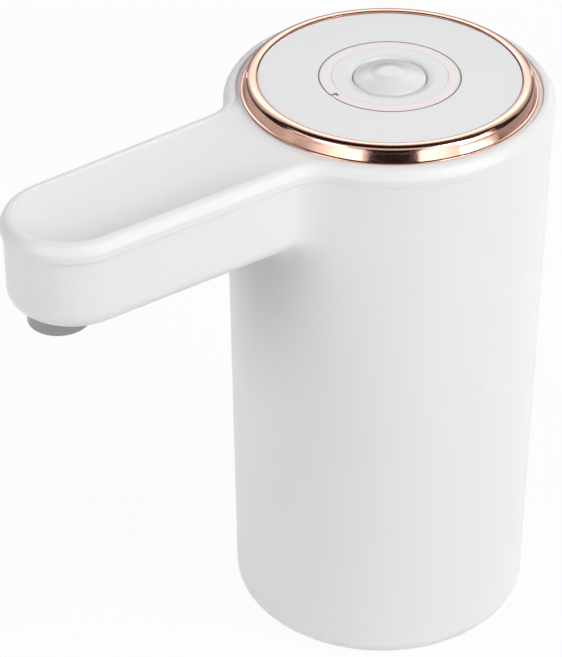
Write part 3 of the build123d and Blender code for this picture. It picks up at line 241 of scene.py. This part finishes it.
def plastic(name, colour, roughness=0.4, grain=0.00025, depth=0.000012, spread=0.03,
            gloss_drift=0.045, rises=(), **values):
    """Moulded plastic: slight colour drift, a fine eroded texture and uneven gloss. Rises are soft
    steps round the pump's axis, each from one radius to another, up or down."""
    s = Shader(name)
    for start, end, rise in rises:
        height = s.step(s.radius(), start, end)
        s.bump(height if rise > 0 else s.remap(height, 1.0, 0.0), abs(rise))
    drift = s.noise(scale=28.0, detail=2.0)
    s.colour(s.blend(drift, shade(colour, 1 - spread / 2), shade(colour, 1 + spread / 2)))
    texture = s.noise(scale=1 / grain, detail=2.0, roughness=0.6)
    gloss = s.noise(scale=160.0)
    s.rough(s.remap(gloss, roughness - gloss_drift, roughness + gloss_drift, *NOISE_SPAN))
    s.bump(texture, depth)
    s.set(**values)
    return s.material


def metal(name, colour, roughness=0.25, stretch=None, grain=0.0004, depth=0.000004, spread=0.06,
          **values):
    """Metal with fine drawn or turned marks and a little uneven polish."""
    s = Shader(name)
    marks = s.noise(scale=1 / grain, roughness=0.6, stretch=stretch)
    s.colour(s.blend(s.noise(scale=60.0), shade(colour, 1 - spread), shade(colour, 1 + spread)))
    s.rough(s.remap(marks, roughness - 0.06, roughness + 0.08, *NOISE_SPAN))
    s.bump(marks, depth)
    s.set(Metallic=1.0, **values)
    return s.material


def banded(name, colour, dark, period, roughness=0.35):
    """Stacked sheets or wound wire: fine bands along Z."""
    s = Shader(name)
    wave = s.add("ShaderNodeTexWave", bands_direction="Z", Scale=math.pi / 10 / period,
                 Distortion=0.3)
    s.link(s.coordinates, wave.inputs["Vector"])
    s.colour(s.blend(wave.outputs["Fac"], dark, colour))
    s.rough(s.remap(s.noise(scale=900.0), roughness - 0.05, roughness + 0.1, *NOISE_SPAN))
    s.bump(wave.outputs["Fac"], 0.00004)
    s.set(Metallic=1.0)
    return s.material


def circuit_board(name):
    """Green solder mask over raised copper runs."""
    s = Shader(name)
    cells = s.add("ShaderNodeTexVoronoi", feature="DISTANCE_TO_EDGE", Scale=420.0, Randomness=0.35)
    s.link(s.coordinates, cells.inputs["Vector"])
    runs = s.remap(cells.outputs["Distance"], 1.0, 0.0, 0.05, 0.09)
    s.colour(s.blend(runs, (0.008, 0.10, 0.035), (0.02, 0.19, 0.07)))
    s.rough(s.remap(s.noise(scale=700.0), 0.28, 0.42, *NOISE_SPAN))
    s.bump(runs, 0.00002)
    s.set(Coat_Weight=0.5, Coat_Roughness=0.15)
    return s.material


MATERIALS = {
    "white_shell": plastic("white_shell", (0.82, 0.82, 0.825), 0.44, spread=0.015,
                           gloss_drift=0.02, IOR=1.47, Subsurface_Weight=0.05,
                           Subsurface_Radius=(0.002, 0.0017, 0.0015), Subsurface_Scale=0.5),
    "white_panel": plastic("white_panel", (0.79, 0.79, 0.80), 0.30, grain=0.00018, depth=0.000003,
                           spread=0.01, gloss_drift=0.01, rises=((0.0080, 0.0102, 0.0004),),
                           IOR=1.47),
    "rose_metal": metal("rose_metal", (0.70, 0.42, 0.335), 0.12, grain=0.0003, depth=0.000001,
                        spread=0.02),
    "dark_trim": metal("dark_trim", (0.15, 0.12, 0.13), 0.3),
    "light_guide": plastic("light_guide", (0.90, 0.80, 0.795), 0.35, Subsurface_Weight=0.35,
                           Subsurface_Radius=(0.0025, 0.0015, 0.0012), Subsurface_Scale=0.6),
    "grey_plastic": plastic("grey_plastic", (0.33, 0.33, 0.335), 0.25, spread=0.05),
    "inner_white": plastic("inner_white", (0.74, 0.74, 0.72), 0.45),
    "pump_plastic": plastic("pump_plastic", (0.10, 0.105, 0.11), 0.42, grain=0.0003,
                            depth=0.00002),
    "gear_plastic": plastic("gear_plastic", (0.80, 0.78, 0.70), 0.33, grain=0.0002),
    "steel": metal("steel", (0.62, 0.62, 0.63), 0.28, (1.0, 1.0, 0.12)),
    "core_iron": banded("core_iron", (0.36, 0.36, 0.37), (0.12, 0.12, 0.125), 0.0005),
    "magnet": plastic("magnet", (0.055, 0.052, 0.052), 0.5, grain=0.0005, depth=0.00003),
    "copper": banded("copper", (0.80, 0.32, 0.14), (0.38, 0.12, 0.05), 0.00045, roughness=0.28),
    "bronze": metal("bronze", (0.55, 0.36, 0.16), 0.38, grain=0.0006, depth=0.00002,
                    spread=0.15),
    "carbon": plastic("carbon", (0.03, 0.03, 0.032), 0.6, grain=0.0004, depth=0.00003),
    "terminal_metal": metal("terminal_metal", (0.70, 0.62, 0.42), 0.3),
    "black_plastic": plastic("black_plastic", (0.018, 0.018, 0.02), 0.42),
    "silicone": plastic("silicone", (0.72, 0.73, 0.73), 0.5, grain=0.0006,
                        Transmission_Weight=0.25, Subsurface_Weight=0.3,
                        Subsurface_Radius=(0.003, 0.003, 0.003), Subsurface_Scale=0.5),
    "board_green": circuit_board("board_green"),
    "led_white": plastic("led_white", (0.85, 0.80, 0.55), 0.25),
    "cell_wrap": plastic("cell_wrap", (0.02, 0.19, 0.30), 0.22, grain=0.0012, depth=0.00002,
                         Coat_Weight=0.4),
    "lead_red": plastic("lead_red", (0.50, 0.02, 0.02), 0.42, grain=0.0005),
}

# Nodes that differ a little from the finish of their slot
OWN_MATERIAL = {
    "button_cap": plastic("button_gloss", (0.79, 0.79, 0.80), 0.22, grain=0.00018, depth=0.000001,
                          spread=0.01, gloss_drift=0.01, IOR=1.52,
                          rises=((0.0015, 0.0050, -0.0002), (0.0020, 0.0090, -0.0008))),
}

SLOT_OF = {entry["node"]: entry["material_slot"] for entry in frame["record"]["subparts"]}


def dress():
    """Gives every CAD node the material of its slot, or its own."""
    for name, node in NODES.items():
        slot = SLOT_OF[name]
        node.data.materials.clear()
        node.data.materials.append(OWN_MATERIAL.get(name, MATERIALS[slot]))


# Pieces made here


def new_piece(mesh, slot):
    """An object with the mesh's name and the material of its slot."""
    mesh.materials.append(MATERIALS[slot])
    piece = bpy.data.objects.new(mesh.name, mesh)
    bpy.context.scene.collection.objects.link(piece)
    return piece


def on_circle(centre, radius, angle):
    """X and y of a point on a circle, at an angle in radians."""
    return centre[0] + radius * math.cos(angle), centre[1] + radius * math.sin(angle)


def light_ring_trim():
    """The dark line round the light ring, with its gap and the small hook at one end of it."""
    low, high = (Vector(corner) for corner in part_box("light_ring_trim"))
    centre, reach = (low + high) / 2, (high.x - low.x) / 2
    middle = reach - TRIM_WIDTH / 2
    start, end = TRIM_GAP[1] - 360, TRIM_GAP[0]
    # Angle, radius, foot, and the share of the hook that lies behind
    path = [(start + (end - start) * i / TRIM_STEPS, middle, low.z, 0)
            for i in range(TRIM_STEPS + 1)]
    hook = smooth_run(TRIM_HOOK, HOOK_STEPS)
    path += [(angle, radius, high.z - HOOK_DEPTH, (i + 1) / len(hook))
             for i, (angle, radius) in enumerate(hook)]
    places = [(*on_circle(centre, radius, math.radians(angle)), foot, share)
              for angle, radius, foot, share in path]
    verts, faces = [], []
    for i, (x, y, foot, share) in enumerate(places):
        before, after = places[max(i - 1, 0)], places[min(i + 1, len(places) - 1)]
        along = Vector((after[0] - before[0], after[1] - before[1], 0)).normalized()
        side = Vector((along.y, -along.x, 0))
        half = TRIM_WIDTH / 2 * (1 + HOOK_SWELL * share)
        top = high.z + HOOK_RISE * min(1, HOOK_RAMP * share)
        section = ((-half, foot), (-half, top - TRIM_BEVEL), (TRIM_BEVEL - half, top),
                   (half - TRIM_BEVEL, top), (half, top - TRIM_BEVEL), (half, foot))
        verts += [Vector((x, y, z)) + side * offset for offset, z in section]
    corners = len(section)
    for first in range(0, len(verts) - corners, corners):
        for k in range(corners):
            a, b = first + k, first + (k + 1) % corners
            faces.append((a, b, b + corners, a + corners))
    faces += [tuple(range(corners)), tuple(len(verts) - 1 - k for k in range(corners))]
    mesh = bpy.data.meshes.new("trim_line")
    mesh.from_pydata(verts, [], faces)
    trim = new_piece(mesh, "dark_trim")
    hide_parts("light_ring_trim")
    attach(trim, "pump_body")


def smooth_run(points, steps):
    """A curve through the points, with so many steps between two of them."""
    points = [Vector(point) for point in (points[0], *points, points[-1])]
    run = []
    for a, b, c, d in zip(points, points[1:], points[2:], points[3:]):
        for k in range(1, steps + 1):
            t = k / steps
            run.append(0.5 * (2 * b + (c - a) * t + (2 * a - 5 * b + 4 * c - d) * t ** 2
                              + (3 * b - a - 3 * c + d) * t ** 3))
    return run


def accent_ring():
    """The rose ring turned from its profile, with the four pegs that hold it in the lid."""
    runs = RING_BEAD + RING_LIP
    inner, outer = runs[0][0], runs[-1][-1]
    profile = [(inner[0], RING_FOOT), inner]
    for run in runs:
        profile += [bezier(run, k / RING_RUN_STEPS) for k in range(1, RING_RUN_STEPS + 1)]
    profile.append((outer[0], RING_FOOT))
    mesh = bmesh.new()
    turn(mesh, profile, (0, 0), RING_STEPS)
    radius, place, foot, head = RING_PEG
    peg = [(0, foot), (radius - PEG_CHAMFER, foot), (radius, foot + PEG_CHAMFER), (radius, head),
           (0, head)]
    for angle in PEG_ANGLES:
        turn(mesh, peg, on_circle((0, 0), place, math.radians(angle)), PEG_STEPS)
    bmesh.ops.remove_doubles(mesh, verts=mesh.verts, dist=WELD_DISTANCE)
    bmesh.ops.recalc_face_normals(mesh, faces=mesh.faces)
    data = bpy.data.meshes.new("rose_ring")
    mesh.to_mesh(data)
    mesh.free()
    data.shade_smooth()
    data.set_sharp_from_angle(angle=math.radians(RING_SHARP_ANGLE))
    ring = new_piece(data, "rose_metal")
    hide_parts("accent_ring")
    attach(ring, "pump_body")


def bezier(run, t):
    """The point at a share t of a cubic run."""
    shares = (1 - t) ** 3, 3 * t * (1 - t) ** 2, 3 * t ** 2 * (1 - t), t ** 3
    return tuple(sum(share * point[i] for share, point in zip(shares, run)) for i in range(2))


def turn(mesh, profile, centre, count):
    """Turns a closed profile of radius and height, in millimetres, round an upright axis. A stretch
    along the axis itself gives no faces."""
    rows = []
    for i in range(count):
        angle = 2 * math.pi * i / count
        places = [(*on_circle(centre, radius, angle), height) for radius, height in profile]
        rows.append([mesh.verts.new([length / 1000 for length in place]) for place in places])
    for row, after in zip(rows, rows[1:] + rows[:1]):
        for k in range(len(profile)):
            m = (k + 1) % len(profile)
            if profile[k][0] or profile[m][0]:
                mesh.faces.new((row[k], after[k], after[m], row[m]))


# Node trees of the stage


def blank_tree(holder):
    """The emptied node tree of a material or world."""
    holder.use_nodes = True
    holder.node_tree.nodes.clear()
    return holder.node_tree


def maths(tree, operation, first, second):
    node = tree.nodes.new("ShaderNodeMath")
    node.operation = operation
    tree.links.new(first, node.inputs[0])
    tree.links.new(second, node.inputs[1])
    return node.outputs[0]


def ramp(tree, value, span, ends):
    """Runs smoothly from one of the ends to the other over a span of the value."""
    node = tree.nodes.new("ShaderNodeMapRange")
    node.interpolation_type = "SMOOTHSTEP"
    node.inputs["From Min"].default_value, node.inputs["From Max"].default_value = span
    node.inputs["To Min"].default_value, node.inputs["To Max"].default_value = ends
    tree.links.new(value, node.inputs["Value"])
    return node.outputs["Result"]


def even_light(tree, kind, strength):
    """A white emission or background."""
    node = tree.nodes.new(kind)
    node.inputs["Color"].default_value = (1, 1, 1, 1)
    node.inputs["Strength"].default_value = strength
    return node.outputs[0]


def mixed(tree, share, first, second):
    """The first shader where the share is 0, the second where it is 1."""
    node = tree.nodes.new("ShaderNodeMixShader")
    tree.links.new(share, node.inputs["Fac"])
    tree.links.new(first, node.inputs[1])
    tree.links.new(second, node.inputs[2])
    return node.outputs[0]


def direct_rays(tree):
    """1 for rays from the camera, a reflection or a clear body, otherwise 0."""
    rays = tree.nodes.new("ShaderNodeLightPath").outputs
    seen = rays["Is Camera Ray"]
    for kind in ("Is Glossy Ray", "Is Transmission Ray"):
        seen = maths(tree, "MAXIMUM", seen, rays[kind])
    return seen


# Stage, light and camera


def rectangle(name, size, material):
    """A flat sheet round its own centre."""
    x, y = size[0] / 2, size[1] / 2
    mesh = bpy.data.meshes.new(name)
    mesh.from_pydata([(-x, -y, 0), (x, -y, 0), (x, y, 0), (-x, y, 0)], [], [(0, 1, 2, 3)])
    mesh.materials.append(material)
    return bpy.data.objects.new(name, mesh)


def make_floor():
    floor = rectangle("floor", (FLOOR_SIZE, FLOOR_SIZE), floor_material())
    floor.location.z = FLOOR_HEIGHT
    bpy.context.scene.collection.objects.link(floor)


def floor_material():
    """A pale floor: white to the eye, plain diffuse to the light, and it keeps the shadow. It glows
    more away from the object, so that it runs into the backdrop without a horizon."""
    material = bpy.data.materials.new("floor")
    tree = blank_tree(material)
    diffuse = tree.nodes.new("ShaderNodeBsdfDiffuse")
    diffuse.inputs["Color"].default_value = (FLOOR_ALBEDO, FLOOR_ALBEDO, FLOOR_ALBEDO, 1)
    place = tree.nodes.new("ShaderNodeTexCoord")
    distance = tree.nodes.new("ShaderNodeVectorMath")
    distance.operation = "LENGTH"
    tree.links.new(place.outputs["Object"], distance.inputs[0])
    glow_share = ramp(tree, distance.outputs["Value"], FLOOR_FADE, (FLOOR_GLOW_SHARE, 1.0))
    plain = diffuse.outputs[0]
    seen = mixed(tree, glow_share, plain, even_light(tree, "ShaderNodeEmission", 1.0))
    out = tree.nodes.new("ShaderNodeOutputMaterial")
    tree.links.new(mixed(tree, direct_rays(tree), plain, seen), out.inputs["Surface"])
    return material


def make_world():
    """Dim as a light on the object, white where it is seen."""
    world = bpy.data.worlds.new("studio")
    bpy.context.scene.world = world
    tree = blank_tree(world)
    dim = even_light(tree, "ShaderNodeBackground", WORLD_LEVEL)
    white = even_light(tree, "ShaderNodeBackground", 1.0)
    out = tree.nodes.new("ShaderNodeOutputWorld")
    tree.links.new(mixed(tree, direct_rays(tree), dim, white), out.inputs["Surface"])


def make_lights():
    for name, (place, size, power) in SOFTBOXES.items():
        lamp = bpy.data.lights.new(name, "AREA")
        lamp.shape = "RECTANGLE"
        lamp.size, lamp.size_y = size
        lamp.energy = power
        stand(bpy.data.objects.new(name, lamp), place)


def make_cards():
    """The bright, dark and grey cards that show in reflections."""
    for name, (place, size, levels, side_shares) in CARDS.items():
        card = make_card(name, size, levels, side_shares)
        stand(card, place)
    side, near = studio_axes()
    for name, ((right, nearer), size) in FLOOR_CARDS.items():
        card = make_card(name, size, (FLOOR_CARD_LEVEL, FLOOR_CARD_LEVEL))
        place = studio_point(right, nearer, 0)
        place.z = FLOOR_CARD_HEIGHT
        card.matrix_world = turned(place, side, near, side.cross(near))
        bpy.context.scene.collection.objects.link(card)


def make_card(name, size, levels, side_shares=(1, 1)):
    card = rectangle(name, size, card_material(name, size, levels, side_shares))
    card.visible_camera = False
    card.visible_diffuse = False
    card.visible_shadow = False
    card.visible_transmission = False
    return card


def card_material(name, size, levels, side_shares):
    """Grey that runs over the card from edge to edge."""
    material = bpy.data.materials.new(name)
    tree = blank_tree(material)
    place = tree.nodes.new("ShaderNodeTexCoord")
    parts = tree.nodes.new("ShaderNodeSeparateXYZ")
    tree.links.new(place.outputs["Object"], parts.inputs[0])
    level = ramp(tree, parts.outputs["Y"], (-size[1] / 2, size[1] / 2), levels)
    share = ramp(tree, parts.outputs["X"], (-size[0] / 2, size[0] / 2), side_shares)
    glow = tree.nodes.new("ShaderNodeEmission")
    tree.links.new(maths(tree, "MULTIPLY", level, share), glow.inputs["Strength"])
    out = tree.nodes.new("ShaderNodeOutputMaterial")
    tree.links.new(glow.outputs[0], out.inputs["Surface"])
    return material


def stand(holder, place):
    """Stands a lamp or a card at its place in the studio, its width level, aimed at the object."""
    place = studio_point(*place)
    back = (place - Vector(AIM)).normalized()
    across = Vector((0, 0, 1)).cross(back)
    overhead = across.length < OVERHEAD
    across = studio_axes()[0] if overhead else across.normalized()
    holder.matrix_world = turned(place, across, back.cross(across), back)
    bpy.context.scene.collection.objects.link(holder)


def turned(place, x_axis, y_axis, z_axis):
    """The matrix of an object at its place, with its own axes in these directions."""
    axes = Matrix((x_axis, y_axis, z_axis)).transposed().to_4x4()
    return Matrix.Translation(place) @ axes


def studio_point(right, nearer, up):
    """A point given by steps to the camera's right, towards the camera along the floor, and up."""
    side, near = studio_axes()
    return Vector(AIM) + side * right + near * nearer + Vector((0, 0, up))


def studio_axes():
    """The level directions to the camera's right and towards the camera."""
    side = Vector((CAMERA_RIGHT[0], CAMERA_RIGHT[1], 0)).normalized()
    near = Vector((-CAMERA_FORWARD[0], -CAMERA_FORWARD[1], 0)).normalized()
    return side, near


def make_camera():
    data = bpy.data.cameras.new("camera")
    data.sensor_fit = "VERTICAL"
    data.sensor_height = SENSOR
    data.sensor_width = SENSOR
    data.lens = LENS
    data.clip_start, data.clip_end = CLIP
    camera = bpy.data.objects.new("camera", data)
    camera.matrix_world = turned(CAMERA_AT, Vector(CAMERA_RIGHT), Vector(CAMERA_UP),
                                 -Vector(CAMERA_FORWARD))
    bpy.context.scene.collection.objects.link(camera)
    bpy.context.scene.camera = camera


def main():
    dress()
    light_ring_trim()
    accent_ring()
    make_floor()
    make_world()
    make_lights()
    make_cards()
    make_camera()
    bpy.context.scene.view_settings.view_transform = "Standard"


main()
